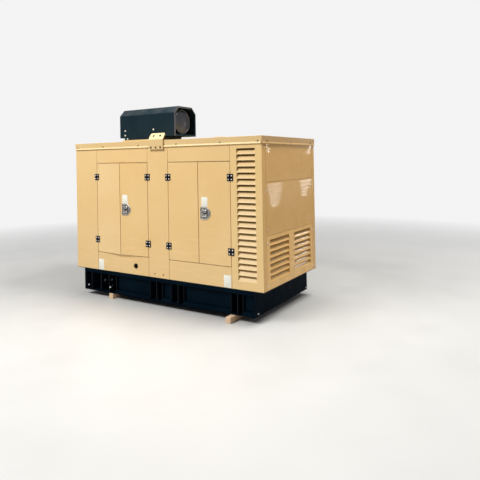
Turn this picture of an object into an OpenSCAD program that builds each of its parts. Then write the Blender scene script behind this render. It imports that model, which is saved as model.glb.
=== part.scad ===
// Generator set in a weatherproof sheet metal enclosure, on a steel skid and two timbers.
// Millimetres. Origin at the middle of the footprint on the ground, +X along the length towards
// the louvred side panel, the doors with joints face -Y, +Z up.

/* [Enclosure] */
// Length of the enclosure walls
body_l = 2580; // [2200:10:3200]
// Width of the enclosure walls
body_w = 1240; // [1100:10:1600]
// Height of the walls from the skid to the roof rim
wall_h = 1417; // [1300:1:1700]
// Thickness of the sheet metal
sheet = 3; // [2:0.5:4]
// Open seam between neighbouring panels
seam = 3; // [1:0.5:4]
// Depth of the stiffening flanges of the end panels
flange = 25; // [15:1:40]

/* [Front and back walls] */
// Width of the pillar between the door pairs
pillar_w = 284; // [200:1:400]
// Width of the blank panel and of the louvred panel beside the doors
side_panel_w = 355; // [320:1:450]
// Height of the sill panels under the doors
sill_h = 211; // [180:1:300]
// Height of the doorways
doorway_h = 1044; // [900:1:1080]
// Width of the strip that the closed doors meet inside
stop_w = 24; // [15:1:40]
// Gap between a closed door and its stop strip
stop_gap = 6; // [5:0.5:12]

/* [Doors] */
// Depth of a door leaf
leaf_t = 22; // [18:1:32]
// Gap round a door leaf
door_gap = 6; // [5.5:0.5:9]
// Gap between the two leaves of a pair
meet_gap = 7; // [6.5:0.5:12]
// Angle at which the left pair stands ajar
ajar = 4; // [0:0.5:8]

/* [Hinges] */
// Width and height of an open hinge
hinge_size = 70; // [60:1:90]
// Thickness of a hinge plate
hinge_t = 5; // [4:0.5:6]
// Radius of a hinge knuckle
knuckle_r = 6; // [5:0.5:6.5]
// Radius of a hinge pin
pin_r = 3; // [2.5:0.5:3.5]
// Radial clearance of a hinge pin in its knuckle
pin_clear = 0.06; // [0.02:0.01:0.1]
// Play between hinge knuckles, and between a knuckle and the wall
knuckle_play = 1; // [0.5:0.1:1.5]
// Height of the lower hinge's middle above the foot of the doorway
hinge_low = 150; // [100:1:250]
// Distance of the upper hinge's middle below the head of the doorway
hinge_high = 163; // [100:1:250]

/* [Latches] */
// Width of a latch plate
latch_w = 126; // [100:1:150]
// Height of a latch plate
latch_h = 130; // [100:1:150]
// Thickness of a latch plate
latch_t = 8; // [5:1:12]
// Distance of a latch's middle from the free edge of its leaf
latch_inset = 88; // [80:1:120]
// Height of a latch's middle above the foot of the doorway
latch_z = 517; // [400:1:700]
// Depth of the paddle on a latch
paddle_t = 9; // [5:1:14]

/* [Louvres] */
// Width of the louvre opening in a side wall
louvre_w = 208; // [160:1:240]
// Distance of the louvre opening from the doorway side of its panel
louvre_inset = 73; // [70:1:90]
// Distance from one louvre blade to the next
louvre_pitch = 58.7; // [50:0.1:70]
// Number of blades in a side wall
louvre_rows = 22; // [16:1:22]
// Height of the lowest side louvre above the skid
louvre_foot = 83; // [60:1:120]
// Rise of a blade from its outer edge to its inner edge
blade_rise = 50; // [25:1:55]
// Reach of a blade into the enclosure
blade_reach = 31; // [25:1:50]

/* [End walls] */
// Width of the corner posts seen on the end walls
post_w = 72; // [60:1:120]
// Length of the corner posts' leg behind the side walls
post_leg = 40; // [30:1:60]
// Width of the strip of a corner post that an end panel is bolted to
landing = 28; // [20:1:40]
// Height of the louvred end panel
end_low_h = 525; // [480:1:540]
// Height of the middle end panel
end_mid_h = 520; // [400:1:600]
// Width of each louvre opening of the end wall
end_louvre_w = 421; // [300:1:440]
// Distance between the two louvre openings of the end wall
end_louvre_gap = 122; // [80:1:200]
// Number of blades in each louvre opening of the end wall
end_louvre_rows = 7; // [4:1:7]
// Height of the lowest end louvre above the skid
end_louvre_foot = 74; // [50:1:90]

/* [Roof] */
// Height of the roof rim
rim_h = 74; // [60:1:110]
// Gap between the walls and the rim
rim_gap = 2; // [1:0.5:5]
// Height of the lip along the rim's lower edge
lip_h = 18; // [10:1:25]
// Distance that the lip flares out
lip_out = 10; // [3:1:12]
// Distance that the lips stop short of the walls' corners
lip_short = 4; // [2:1:20]
// Height of the curb under the exhaust hood
curb_h = 40; // [20:1:60]
// Distance that the curb stands out beyond the hood base
curb_out = 20; // [5:1:40]

/* [Lifting brackets] */
// Width of a lifting bracket
bracket_w = 200; // [160:1:260]
// Thickness of a lifting bracket
bracket_t = 8; // [6:1:16]
// Height of the upright part above the rim's top
bracket_up = 9; // [5:1:20]
// Distance that the upright part reaches below the rim
bracket_down = 25; // [10:1:60]
// Length of the leaning part
bracket_lean_l = 83; // [70:1:110]
// Angle by which the upper part leans in over the roof
bracket_lean = 33; // [0:1:45]
// Distance of the lifting holes above the fold
lift_hole_up = 47; // [40:1:55]
// Distance between the two lifting holes of a bracket
lift_hole_gap = 92; // [60:1:120]
// Radius of a lifting hole
lift_hole_r = 12; // [8:0.5:14]
// Radius of the bracket's upper corners
bracket_corner = 20; // [5:1:25]

/* [Exhaust hood] */
// Length of the hood
hood_l = 872; // [700:1:1100]
// Width of the hood
hood_w = 414; // [380:1:600]
// Height of the hood
hood_h = 351; // [340:1:500]
// Width of the slanted edges at the top of the hood
hood_chamfer = 78; // [40:1:100]
// Distance of the hood's middle from the middle of the enclosure
hood_x = -526; // [-700:1:0]
// Thickness of the hood's plate
hood_plate = 4; // [2:0.5:6]
// Width of the lip round the hood's mouth
hood_lip = 20; // [8:1:25]
// Height of the base frame under the hood
hood_base_h = 29; // [15:1:60]
// Distance of the base frame in from the closed end of the hood
hood_base_in = 76; // [20:1:120]
// Distance by which the hood's mouth stands out beyond the base frame
hood_overhang = 225; // [60:1:300]
// Distance of the base frame in from the sides of the hood
hood_base_side = 2; // [0:0.5:3]
// Radius of the silencer
silencer_r = 142; // [120:1:160]
// Height of the silencer's middle above the hood's bottom edge
silencer_z = 172; // [163:1:176]
// Distance of the silencer's rim in from the hood's mouth
silencer_in = 20; // [16:1:80]
// Height of the silencer's dished end
dish_h = 26; // [15:1:28]
// Height of the silencer's end rim above its barrel
silencer_rim = 5; // [2:1:8]

/* [Skid] */
// Length of the skid
skid_l = 2360; // [2000:10:3000]
// Height of the skid
skid_h = 255; // [220:1:350]
// Distance of the skid's sides in from the walls
skid_inset = 8; // [0:1:60]
// Height of the chords along the skid's top and bottom edges
chord_h = 45; // [30:1:60]
// Depth of the chords
chord_d = 42; // [30:1:60]
// Thickness of the skid's plates
plate = 8; // [5:0.5:12]
// Depth of the bays in the skid's sides
bay_d = 130; // [80:1:180]
// Thickness of the flange along the bottom of the sides
bay_foot = 8; // [5:1:20]
// Thickness of the upright plates in the bays
fin_t = 12; // [8:1:25]
// Distance of the upright plates in from the skid's face
upright_set = 5; // [2:1:20]
// Width of the skid's cross members
cross_w = 60; // [40:1:80]
// Height of the skid's cross members
cross_h = 90; // [60:1:120]
// Thickness of the floor plate under the enclosure
floor_t = 5; // [3:1:8]

/* [Timbers] */
// Height of the timbers
timber_h = 60; // [40:1:100]
// Width of the timbers
timber_w = 58; // [40:1:100]
// Distance that the left timber stands out past the side walls
timber_left_out = 8; // [0:1:150]
// Distance that the right timber stands out past the side walls
timber_right_out = 85; // [0:1:150]
// Place of the left timber along the skid
timber_left_x = -728; // [-1000:1:-300]
// Place of the right timber along the skid
timber_right_x = 935; // [300:1:1100]

/* [Cable plug] */
// Radius of the round plug in the left sill
plug_r = 27; // [15:1:40]
// Thickness of the round plug
plug_t = 7; // [3:1:12]
// Distance of the plug from the pillar
plug_inset = 192; // [60:1:500]
// Height of the plug's middle above the skid
plug_z = 102; // [60:1:150]

/* [Hidden] */
$fn = 48;
skid_top = timber_h + skid_h;
floor_z = skid_top + floor_t;
rim_z = skid_top + wall_h;
roof_z = rim_z + rim_h;
wall_top = roof_z - sheet;
rim_face = rim_gap + sheet;
rim_out = rim_face + lip_out;
hl = body_l / 2;
hw = body_w / 2;
door_foot = skid_top + sill_h;
door_head = door_foot + doorway_h;
pair_w = (body_l - pillar_w - 2 * side_panel_w) / 2;
pair_x = (pillar_w + pair_w) / 2;
jamb_d = leaf_t + stop_gap + sheet;
leaf_w = (pair_w - 2 * door_gap - meet_gap) / 2;
leaf_h = doorway_h - 2 * door_gap;
axis_out = knuckle_r + knuckle_play;
axis_in = door_gap / 2;
end_half = hw - post_w;
blade_t = sheet;
skid_hl = skid_l / 2;
skid_hw = hw - skid_inset;
rail_hl = skid_hl - plate;
bay_top = skid_top - chord_h;
bay_z = timber_h + bay_foot;
hood_z = roof_z + curb_h + hood_base_h;
mouth_x = hood_x + hood_l / 2;
silencer_l = hood_l - silencer_in - hood_base_in;
bite = 1;
// Middle and width of each bay, and the places of the plates in it, all along the skid
left_bay_x = -rail_hl + plate + 254;
left_bay_w = 504;
left_bay_fins = [-154, 3, 134];
mid_bay_x = -58;
mid_bay_w = 182;
next_bay_x = 237;
next_bay_w = 178;
right_bay_x = 978;
right_bay_w = 146;
mid_fin = [8];
bays = [
    [left_bay_x, left_bay_w, left_bay_fins],
    [mid_bay_x, mid_bay_w, mid_fin],
    [next_bay_x, next_bay_w, mid_fin],
    [right_bay_x, right_bay_w, mid_fin]
];
// Where each closed length of the skid's side starts and ends
shut_from = concat([-rail_hl], [for (b = bays) b[0] + b[1] / 2]);
shut_to = concat([for (b = bays) b[0] - b[1] / 2], [rail_hl]);
// Cross members stand between the bays
cross_places = [
    (left_bay_x + left_bay_w / 2 + mid_bay_x - mid_bay_w / 2) / 2,
    (mid_bay_x + mid_bay_w / 2 + next_bay_x - next_bay_w / 2) / 2,
    (next_bay_x + next_bay_w / 2 + right_bay_x - right_bay_w / 2) / 2
];

// Turns a front wall piece round to the back wall
module back_side() {
    mirror([0, 1, 0]) children();
}

// Side wall outline seen from above: skin, and a jamb with a stop strip where asked
module wall_outline(w, left_jamb, right_jamb) {
    square([w, sheet]);
    if (left_jamb) jamb_outline();
    if (right_jamb) translate([w, 0]) mirror([1, 0]) jamb_outline();
}

module jamb_outline() {
    square([sheet, jamb_d]);
    translate([-stop_w, jamb_d - sheet]) square([stop_w + sheet, sheet]);
}

module wall_strip(x, w, left_jamb, right_jamb) {
    translate([x, -hw, floor_z])
        linear_extrude(wall_top - floor_z) wall_outline(w, left_jamb, right_jamb);
}

module blank_panel() {
    wall_strip(-hl, side_panel_w, false, true);
}

module pillar() {
    wall_strip(-pillar_w / 2, pillar_w, true, true);
}

// Sill or header: skin, and a folded edge that stops the doors. Its section is drawn from the
// doorway outwards
module rail_section(h) {
    square([sheet, h]);
    square([jamb_d, sheet]);
    translate([jamb_d - sheet, -stop_w]) square([sheet, stop_w + sheet]);
}

module door_rail(h) {
    skin_w = pair_w - 2 * seam;
    inner_w = pair_w - 2 * stop_w;
    translate([-skin_w / 2, 0, 0]) cube([skin_w, sheet, h]);
    translate([-inner_w / 2, 0, 0])
        rotate([90, 0, 90]) linear_extrude(inner_w) rail_section(h);
}

module headers() {
    for (side = [-1, 1]) translate([side * pair_x, -hw, door_head])
        door_rail(wall_top - door_head);
}

module sills() {
    for (side = [-1, 1]) translate([side * pair_x, -hw, door_foot]) mirror([0, 0, 1])
        door_rail(door_foot - floor_z);
}

// Louvre blade: its lower edge is flush with the wall and it rises into the enclosure
module blade(w) {
    rotate([90, 0, 90]) linear_extrude(w)
        polygon([[0, 0], [blade_reach, blade_rise - blade_t], [blade_reach, blade_rise], [0, blade_t]]);
}

module blades(w, rows) {
    for (i = [0:rows - 1]) translate([-bite, 0, i * louvre_pitch]) blade(w + 2 * bite);
}

// Cheek: the folded side of a louvre opening that carries the blades' ends
module cheek(h) {
    cube([sheet, blade_reach, h]);
}

module louvre_panel() {
    x0 = hl - side_panel_w;
    open_x = x0 + louvre_inset;
    open_z = skid_top + louvre_foot;
    open_h = louvre_rows * louvre_pitch;
    difference() {
        wall_strip(x0, side_panel_w, true, false);
        translate([open_x, -hw - bite, open_z + bite])
            cube([louvre_w, sheet + 2 * bite, open_h - bite]);
    }
    for (x = [open_x - sheet, open_x + louvre_w]) translate([x, -hw, open_z]) cheek(open_h);
    translate([open_x, -hw, open_z]) blades(louvre_w, louvre_rows);
}

// Corner post: the strip seen on the end wall, a landing for the end panels and a leg
// behind the side wall
module post_outline() {
    translate([-sheet, sheet]) square([sheet, post_w - sheet]);
    translate([-2 * sheet, post_w - sheet]) square([sheet, landing + sheet]);
    translate([-post_leg, sheet]) square([post_leg, sheet]);
}

module corner_posts() {
    for (sx = [0, 1]) mirror([sx, 0, 0]) for (sy = [0, 1]) mirror([0, sy, 0])
        translate([hl, -hw, floor_z]) linear_extrude(wall_top - floor_z) post_outline();
}

// End panel: a flat sheet with folded stiffeners along its upper and lower edges
module end_panel(z, h) {
    skin_w = 2 * (end_half - seam);
    inner_w = 2 * (end_half - landing - seam);
    translate([hl - sheet, -skin_w / 2, z]) cube([sheet, skin_w, h]);
    for (edge = [z, z + h - sheet]) translate([hl - flange, -inner_w / 2, edge])
        cube([flange, inner_w, sheet]);
}

module end_middle_panel() {
    end_panel(skid_top + end_low_h + seam, end_mid_h - seam);
}

module end_upper_panel() {
    z = skid_top + end_low_h + end_mid_h + seam;
    end_panel(z, wall_top - z);
}

module end_louvre_panel() {
    open_h = end_louvre_rows * louvre_pitch;
    open_z = skid_top + end_louvre_foot;
    sides = [-end_louvre_gap / 2 - end_louvre_w, end_louvre_gap / 2];
    difference() {
        end_panel(floor_z, skid_top + end_low_h - floor_z);
        for (y = sides) translate([hl - sheet - bite, y, open_z + bite])
            cube([sheet + 2 * bite, end_louvre_w, open_h - bite]);
    }
    for (y = sides) translate([hl, y, open_z]) rotate(90) {
        blades(end_louvre_w, end_louvre_rows);
        for (x = [-sheet, end_louvre_w]) translate([x, 0, 0]) cheek(open_h);
    }
}

module other_end() {
    mirror([1, 0, 0]) children();
}

// Hinge line of the four leaves: the side of its pair that carries each one, and where it is
function hinge_side(i) = i % 2 == 1 ? -1 : 1;
function pair_of(i) = i < 3 ? -1 : 1;
function jamb_x(i) = pair_of(i) * pair_x + hinge_side(i) * pair_w / 2;
function hinge_x(i) = jamb_x(i) - hinge_side(i) * axis_in;
function rest_angle(i) = i < 3 ? ajar : 0;

// Places what is drawn beside the hinge line at x = 0, reaching +X, on leaf i, open by an angle
module at_leaf(i, angle) {
    translate([hinge_x(i), -hw - axis_out, door_foot])
        mirror([hinge_side(i) == 1 ? 1 : 0, 0, 0]) rotate(-angle) children();
}

module leaf() {
    translate([door_gap - axis_in, axis_out, door_gap]) difference() {
        cube([leaf_w, leaf_t, leaf_h]);
        translate([sheet, sheet, sheet])
            cube([leaf_w - 2 * sheet, leaf_t, leaf_h - 2 * sheet]);
    }
}

// Hinge knuckle with the strip that joins it to its plate
module knuckle(z, h, bore) {
    difference() {
        union() {
            translate([0, 0, z]) cylinder(r = knuckle_r, h = h);
            translate([0, axis_out - hinge_t, z])
                cube([axis_out + bite, knuckle_r - axis_out + hinge_t, h]);
        }
        translate([0, 0, z - bite]) cylinder(r = bore, h = h + 2 * bite);
    }
}

module hinge_plate() {
    translate([axis_out, axis_out - hinge_t, -hinge_size / 2])
        cube([hinge_size / 2 - axis_out, hinge_t, hinge_size]);
}

// Moving half: plate and middle knuckle
module hinge_moving() {
    third = hinge_size / 3;
    hinge_plate();
    knuckle(-third / 2 + knuckle_play / 2, third - knuckle_play, pin_r + pin_clear);
}

// Fixed half: plate, the outer knuckles and the pin through all three
module hinge_fixed() {
    third = hinge_size / 3;
    mirror([1, 0, 0]) {
        hinge_plate();
        for (z = [-hinge_size / 2, third / 2 + knuckle_play / 2])
            knuckle(z, third - knuckle_play / 2, pin_r / 2);
    }
    translate([0, 0, -hinge_size / 2]) cylinder(r = pin_r, h = hinge_size);
}

module hinge_pair() {
    for (z = [hinge_low, doorway_h - hinge_high]) translate([0, 0, z]) children();
}

// Latch: a plate with a blunt nose away from the free edge, and a paddle in it
module latch_outline(w, h) {
    nose = w * 0.38;
    polygon([[-w / 2, -h / 2], [w / 2 - nose, -h / 2], [w / 2, -h / 6],
        [w / 2, h / 6], [w / 2 - nose, h / 2], [-w / 2, h / 2]]);
}

module latch() {
    rim = latch_w / 10;
    reach = door_gap - axis_in + leaf_w - latch_inset;
    translate([reach, axis_out, latch_z]) rotate([90, 0, 0]) mirror([1, 0, 0]) {
        difference() {
            linear_extrude(latch_t) latch_outline(latch_w, latch_h);
            translate([0, 0, latch_t / 2]) linear_extrude(latch_t)
                latch_outline(latch_w - 2 * rim, latch_h - 2 * rim);
        }
        translate([-rim, 0, 0]) linear_extrude(latch_t + paddle_t)
            latch_outline(latch_w * 0.62, latch_h * 0.52);
    }
}

module latch_on(i) {
    at_leaf(i, rest_angle(i)) latch();
}

module door(i, angle) {
    color("burlywood") at_leaf(i, angle) leaf();
}

module hinge_leaves(i, angle) {
    color("#1a1a1a") at_leaf(i, angle) hinge_pair() hinge_moving();
}

module timber(x, out) {
    translate([x - timber_w / 2, -hw - out, 0]) cube([timber_w, body_w + 2 * out, timber_h]);
}

// Runs a plate or bar of a skid side along X from one place to another, at a depth behind the
// skid's face
module along_side(from, to, depth, t, z, h) {
    translate([from, -skid_hw + depth, z]) cube([to - from, t, h]);
}

// Chords: the bar along the top, and the lengths of the lower bar between the bays
module side_chords() {
    along_side(-rail_hl, rail_hl, 0, chord_d, bay_top, chord_h);
    for (i = [0:len(bays)])
        along_side(shut_from[i], shut_to[i], 0, chord_d - plate, bay_z, chord_h - bay_foot);
}

// Bottom flange of the side, on which the lower bars and the bays' plates stand
module side_foot() {
    along_side(-rail_hl, rail_hl, 0, bay_d, timber_h, bay_foot);
}

// Webs: set back plates that close the side between the bays, and the bays' back plates
module side_webs() {
    for (i = [0:len(bays)])
        along_side(shut_from[i], shut_to[i], chord_d - plate, plate, bay_z, bay_top - bay_z);
    for (b = bays)
        along_side(b[0] - b[1] / 2, b[0] + b[1] / 2, bay_d - plate, plate, bay_z, skid_top - bay_z);
}

// Upright plates at the sides of each bay and in it
module side_uprights() {
    deep = bay_d - plate - upright_set;
    h = bay_top - bay_z;
    for (b = bays) {
        for (x = [b[0] - b[1] / 2, b[0] + b[1] / 2 - plate])
            along_side(x, x + plate, upright_set, deep, bay_z, h);
        for (f = b[2])
            along_side(b[0] + f - fin_t / 2, b[0] + f + fin_t / 2, upright_set, deep, bay_z, h);
    }
}

module skid_end_plate() {
    translate([rail_hl, -skid_hw, timber_h]) cube([plate, 2 * skid_hw, skid_h]);
}

// Lip along one side of the roof, flared outwards from the rim's upright face
module roof_lip(l) {
    rotate([90, 0, 90]) linear_extrude(l, center = true)
        polygon([[-rim_gap - lip_out, 0], [-rim_gap, lip_h], [-rim_gap, lip_h + bite],
            [-rim_face, lip_h + bite], [-rim_face, lip_h], [-rim_out, 0]]);
}

// Roof: a flat sheet with a rim folded down round the walls, and lips that leave its corners open
module roof_tray() {
    l = body_l + 2 * rim_face;
    w = body_w + 2 * rim_face;
    difference() {
        translate([-l / 2, -w / 2, rim_z + lip_h]) cube([l, w, rim_h - lip_h]);
        translate([-l / 2 + sheet, -w / 2 + sheet, rim_z])
            cube([l - 2 * sheet, w - 2 * sheet, rim_h - sheet]);
    }
    for (turn = [0, 180]) rotate(turn) {
        translate([0, -hw, rim_z]) roof_lip(body_l - 2 * lip_short);
        rotate(90) translate([0, -hl, rim_z]) roof_lip(body_w - 2 * lip_short);
    }
}

module lifting_bracket() {
    fold_z = roof_z + bracket_up;
    foot_z = rim_z - bracket_down;
    translate([-bracket_w / 2, -hw - rim_out - bracket_t, foot_z])
        cube([bracket_w, bracket_t, fold_z - foot_z]);
    translate([0, -hw - rim_out - bracket_t, fold_z]) rotate([-bracket_lean, 0, 0])
        rotate([90, 0, 0]) mirror([0, 0, 1]) linear_extrude(bracket_t) difference() {
            union() {
                translate([-bracket_w / 2, 0])
                    square([bracket_w, bracket_lean_l - bracket_corner]);
                translate([-bracket_w / 2 + bracket_corner, 0])
                    square([bracket_w - 2 * bracket_corner, bracket_lean_l]);
                for (side = [-1, 1])
                    translate([side * (bracket_w / 2 - bracket_corner), bracket_lean_l - bracket_corner])
                        circle(r = bracket_corner);
            }
            for (side = [-1, 1]) translate([side * lift_hole_gap / 2, lift_hole_up])
                circle(r = lift_hole_r);
        }
}

// Hood section, seen from its mouth: upright sides, slanted edges and a flat top
module hood_outline(d) {
    w = hood_w / 2 - d;
    c = hood_chamfer - d * (2 - sqrt(2));
    polygon([[-w, 0], [w, 0], [w, hood_h - d - c], [w - c, hood_h - d],
        [-w + c, hood_h - d], [-w, hood_h - d - c]]);
}

// Inside of that section, set in from all of its sides
module hood_hollow(d) {
    intersection() {
        hood_outline(d);
        translate([-hood_w, d]) square([2 * hood_w, hood_h]);
    }
}

module along_hood(x, l) {
    translate([x, 0, hood_z]) rotate([90, 0, 90]) linear_extrude(l) children();
}

module hood_shell() {
    x0 = hood_x - hood_l / 2;
    difference() {
        along_hood(x0, hood_l) hood_outline(0);
        along_hood(x0 + hood_plate, hood_l - 2 * hood_plate) hood_hollow(hood_plate);
        along_hood(x0 + hood_plate, hood_l) hood_hollow(hood_lip);
    }
}

module hood_base_block(h, out) {
    l = hood_l - hood_base_in - hood_overhang + 2 * out;
    w = hood_w - 2 * hood_base_side + 2 * out;
    translate([hood_x - hood_l / 2 + hood_base_in - out, -w / 2, 0]) cube([l, w, h]);
}

// Silencer: a barrel with raised rims and dished ends, along the hood
module silencer_body() {
    dish_r = (silencer_r * silencer_r + dish_h * dish_h) / (2 * dish_h);
    rim_w = 14;
    barrel_l = silencer_l - 2 * dish_h;
    translate([mouth_x - silencer_in, 0, hood_z + silencer_z]) rotate([0, -90, 0]) {
        translate([0, 0, dish_h]) cylinder(r = silencer_r - silencer_rim, h = barrel_l);
        for (z = [dish_h, dish_h + barrel_l - rim_w]) translate([0, 0, z])
            cylinder(r = silencer_r, h = rim_w);
        intersection() {
            translate([0, 0, dish_r]) sphere(r = dish_r);
            cylinder(r = silencer_r - silencer_rim, h = dish_h);
        }
        translate([0, 0, silencer_l]) mirror([0, 0, 1]) intersection() {
            translate([0, 0, dish_r]) sphere(r = dish_r);
            cylinder(r = silencer_r - silencer_rim, h = dish_h);
        }
    }
}

// Saddle: a plate on the hood's floor, cut out to the silencer's barrel
module saddle(x) {
    r = silencer_r - silencer_rim;
    translate([x, 0, hood_z]) rotate([90, 0, 90]) linear_extrude(plate) difference() {
        translate([-r * 0.8, hood_plate]) square([r * 1.6, silencer_z - r * 0.55 - hood_plate]);
        translate([0, silencer_z]) circle(r = r);
    }
}

module plug() {
    translate([-pillar_w / 2 - plug_inset, -hw, skid_top + plug_z]) rotate([90, 0, 0])
        difference() {
            cylinder(r = plug_r, h = plug_t);
            translate([0, 0, plug_t / 2]) cylinder(r = plug_r * 0.6, h = plug_t);
        }
}

module timbers() {
    color("tan") {
        timber(timber_left_x, timber_left_out);
        timber(timber_right_x, timber_right_out);
    }
}

module on_both_sides() {
    for (sy = [0, 1]) mirror([0, sy, 0]) children();
}
module skid_chords() { color("#101820") on_both_sides() side_chords(); }
module skid_feet() { color("#101820") on_both_sides() side_foot(); }
module skid_webs() { color("#101820") on_both_sides() side_webs(); }
module bay_uprights() { color("#0a0d12") on_both_sides() side_uprights(); }
module skid_end_plates() {
    color("#101820") {
        skid_end_plate();
        other_end() skid_end_plate();
    }
}
module skid_cross_members() {
    inner = skid_hw - chord_d;
    color("#101820") for (x = cross_places) translate([x - cross_w / 2, -inner, skid_top - cross_h])
        cube([cross_w, 2 * inner, cross_h]);
}
module floor_plate() {
    color("#20242a") translate([-hl, -hw, skid_top]) cube([body_l, body_w, floor_t]);
}

timbers();
skid_chords();
skid_feet();
skid_webs();
bay_uprights();
skid_end_plates();
skid_cross_members();
floor_plate();
color("#c9a06c") corner_posts();
color("burlywood") on_both_sides() blank_panel();  // blank_panels
color("burlywood") pillar();  // pillar_front
color("burlywood") back_side() pillar();  // pillar_back
color("burlywood") headers();  // headers_front
color("burlywood") back_side() headers();  // headers_back
color("burlywood") sills();  // sills_front
color("burlywood") back_side() sills();  // sills_back
color("burlywood") louvre_panel();  // louvre_panel_front
color("burlywood") back_side() louvre_panel();  // louvre_panel_back
color("#c9a06c") end_louvre_panel();  // end_louvre_panel_right
color("#c9a06c") other_end() end_louvre_panel();  // end_louvre_panel_left
color("#c9a06c") {  // end_middle_panels
    end_middle_panel();
    other_end() end_middle_panel();
}
color("#c9a06c") {  // end_upper_panels
    end_upper_panel();
    other_end() end_upper_panel();
}
door(1, rest_angle(1));  // door_1
door(2, rest_angle(2));  // door_2
door(3, rest_angle(3));  // door_3
door(4, rest_angle(4));  // door_4
hinge_leaves(1, rest_angle(1));  // hinge_leaves_1
hinge_leaves(2, rest_angle(2));  // hinge_leaves_2
hinge_leaves(3, rest_angle(3));  // hinge_leaves_3
hinge_leaves(4, rest_angle(4));  // hinge_leaves_4
color("#1a1a1a") for (i = [1:4])  // hinge_frames_front
    at_leaf(i, 0) hinge_pair() hinge_fixed();
color("silver") latch_on(2);  // latch_left
color("silver") latch_on(4);  // latch_right
back_side() for (i = [1, 2]) door(i, 0);  // doors_back_left
back_side() for (i = [3, 4]) door(i, 0);  // doors_back_right
color("#1a1a1a") back_side() for (i = [1:4])  // hinges_back
    at_leaf(i, 0) hinge_pair() {
        hinge_moving();
        hinge_fixed();
    }
color("silver") back_side() for (i = [2, 4])  // latches_back
    at_leaf(i, 0) latch();
color("#202020") plug();  // cable_plug
color("burlywood") roof_tray();  // roof
color("burlywood")  // roof_curb
    translate([0, 0, roof_z]) hood_base_block(curb_h, curb_out);
color("burlywood") for (sy = [0, 1])  // lifting_brackets
    mirror([0, sy, 0]) lifting_bracket();
color("#14181c")  // hood_base
    translate([0, 0, roof_z + curb_h]) hood_base_block(hood_base_h, 0);
color("#26323c") hood_shell();  // hood
color("#8c9094") silencer_body();  // silencer
color("#26323c")  // silencer_saddles
    for (x = [mouth_x - silencer_in - silencer_l * 0.8, mouth_x - silencer_in - silencer_l * 0.35])
        saddle(x);
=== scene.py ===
import math
import random

import bmesh
import bpy
from mathutils import Matrix, Vector


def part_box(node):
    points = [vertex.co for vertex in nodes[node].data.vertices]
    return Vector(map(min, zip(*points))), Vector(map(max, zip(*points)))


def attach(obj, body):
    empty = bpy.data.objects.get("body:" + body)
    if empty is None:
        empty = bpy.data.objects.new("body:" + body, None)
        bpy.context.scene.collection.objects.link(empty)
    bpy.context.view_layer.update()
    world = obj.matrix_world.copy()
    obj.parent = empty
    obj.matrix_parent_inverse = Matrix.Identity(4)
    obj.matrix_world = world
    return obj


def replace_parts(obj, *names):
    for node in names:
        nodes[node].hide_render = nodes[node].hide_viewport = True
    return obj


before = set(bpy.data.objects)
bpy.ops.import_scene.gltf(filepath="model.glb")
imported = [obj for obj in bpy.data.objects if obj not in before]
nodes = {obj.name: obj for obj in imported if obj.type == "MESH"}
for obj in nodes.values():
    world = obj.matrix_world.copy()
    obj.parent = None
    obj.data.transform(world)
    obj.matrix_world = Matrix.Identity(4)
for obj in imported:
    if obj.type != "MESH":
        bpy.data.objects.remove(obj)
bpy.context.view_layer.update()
print("frame loaded,", len(nodes), "nodes")

# the enclosure's main places in metres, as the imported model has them
plan = {
    "wallFront": -0.620, "wallEnd": 1.290, "rimFace": 0.005,
    "doorFoot": 0.526, "doorHead": 1.570, "pairWidth": 0.793, "pairMiddle": 0.5385,
    "axisOut": 0.007, "axisIn": 0.003, "leafWidth": 0.387, "ajar": math.radians(4),
}


# helpers for shader trees

def feed(tree, value, socket):
    if isinstance(value, bpy.types.NodeSocket):
        tree.links.new(value, socket)
    else:
        socket.default_value = value


def fill(tree, node, values):
    for label, value in values.items():
        feed(tree, value, node.inputs[label])


def addNode(tree, kind, values=None, **settings):
    node = tree.nodes.new("ShaderNode" + kind)
    for label, value in settings.items():
        setattr(node, label, value)
    fill(tree, node, values or {})
    return node


def calc(tree, operation, a, b=0.0, clamp=False):
    return addNode(tree, "Math", {0: a, 1: b}, operation=operation, use_clamp=clamp).outputs[0]


def measure(tree, operation, a, b=(0, 0, 0)):
    # vector maths that gives one number
    return addNode(tree, "VectorMath", {0: a, 1: b}, operation=operation).outputs["Value"]


def spread(tree, value, low, high, toLow=0.0, toHigh=1.0):
    return addNode(tree, "MapRange", {"Value": value, "From Min": low, "From Max": high,
                                      "To Min": toLow, "To Max": toHigh}).outputs["Result"]


def mixColor(tree, amount, a, b):
    return addNode(tree, "Mix", {0: amount, 6: a, 7: b}, data_type="RGBA").outputs[2]


def objectPoint(tree):
    return addNode(tree, "TexCoord").outputs["Object"]


def surfaceNormal(tree):
    return addNode(tree, "NewGeometry").outputs["Normal"]


def component(tree, vector, axis):
    return addNode(tree, "SeparateXYZ", {0: vector}).outputs[axis]


def place(tree, stretch=(1, 1, 1), turn=(0, 0, 0), shift=(0, 0, 0)):
    return addNode(tree, "Mapping", {"Vector": objectPoint(tree), "Scale": stretch, "Rotation": turn,
                                     "Location": shift}).outputs["Vector"]


def noise(tree, scale, detail=2.0, at=None):
    return addNode(tree, "TexNoise", {"Scale": scale, "Detail": detail,
                                      "Vector": at or place(tree)}).outputs["Fac"]


def addBump(tree, height, target):
    bump = addNode(tree, "Bump", {"Strength": 1.0, "Distance": 1.0, "Height": height})
    tree.links.new(bump.outputs["Normal"], target)
    return bump


def newGroup(name, inputs, outputs):
    group = bpy.data.node_groups.new(name, "ShaderNodeTree")
    for label, kind, value in inputs:
        socket = group.interface.new_socket(label, in_out="INPUT", socket_type=kind)
        socket.default_value = value
    for label, kind in outputs:
        group.interface.new_socket(label, in_out="OUTPUT", socket_type=kind)
    return group, group.nodes.new("NodeGroupInput").outputs, group.nodes.new("NodeGroupOutput").inputs


scalar, tint, arrow = "NodeSocketFloat", "NodeSocketColor", "NodeSocketVector"
noiseBand = (0.3, 0.7)  # where most of a noise's values lie


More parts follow.
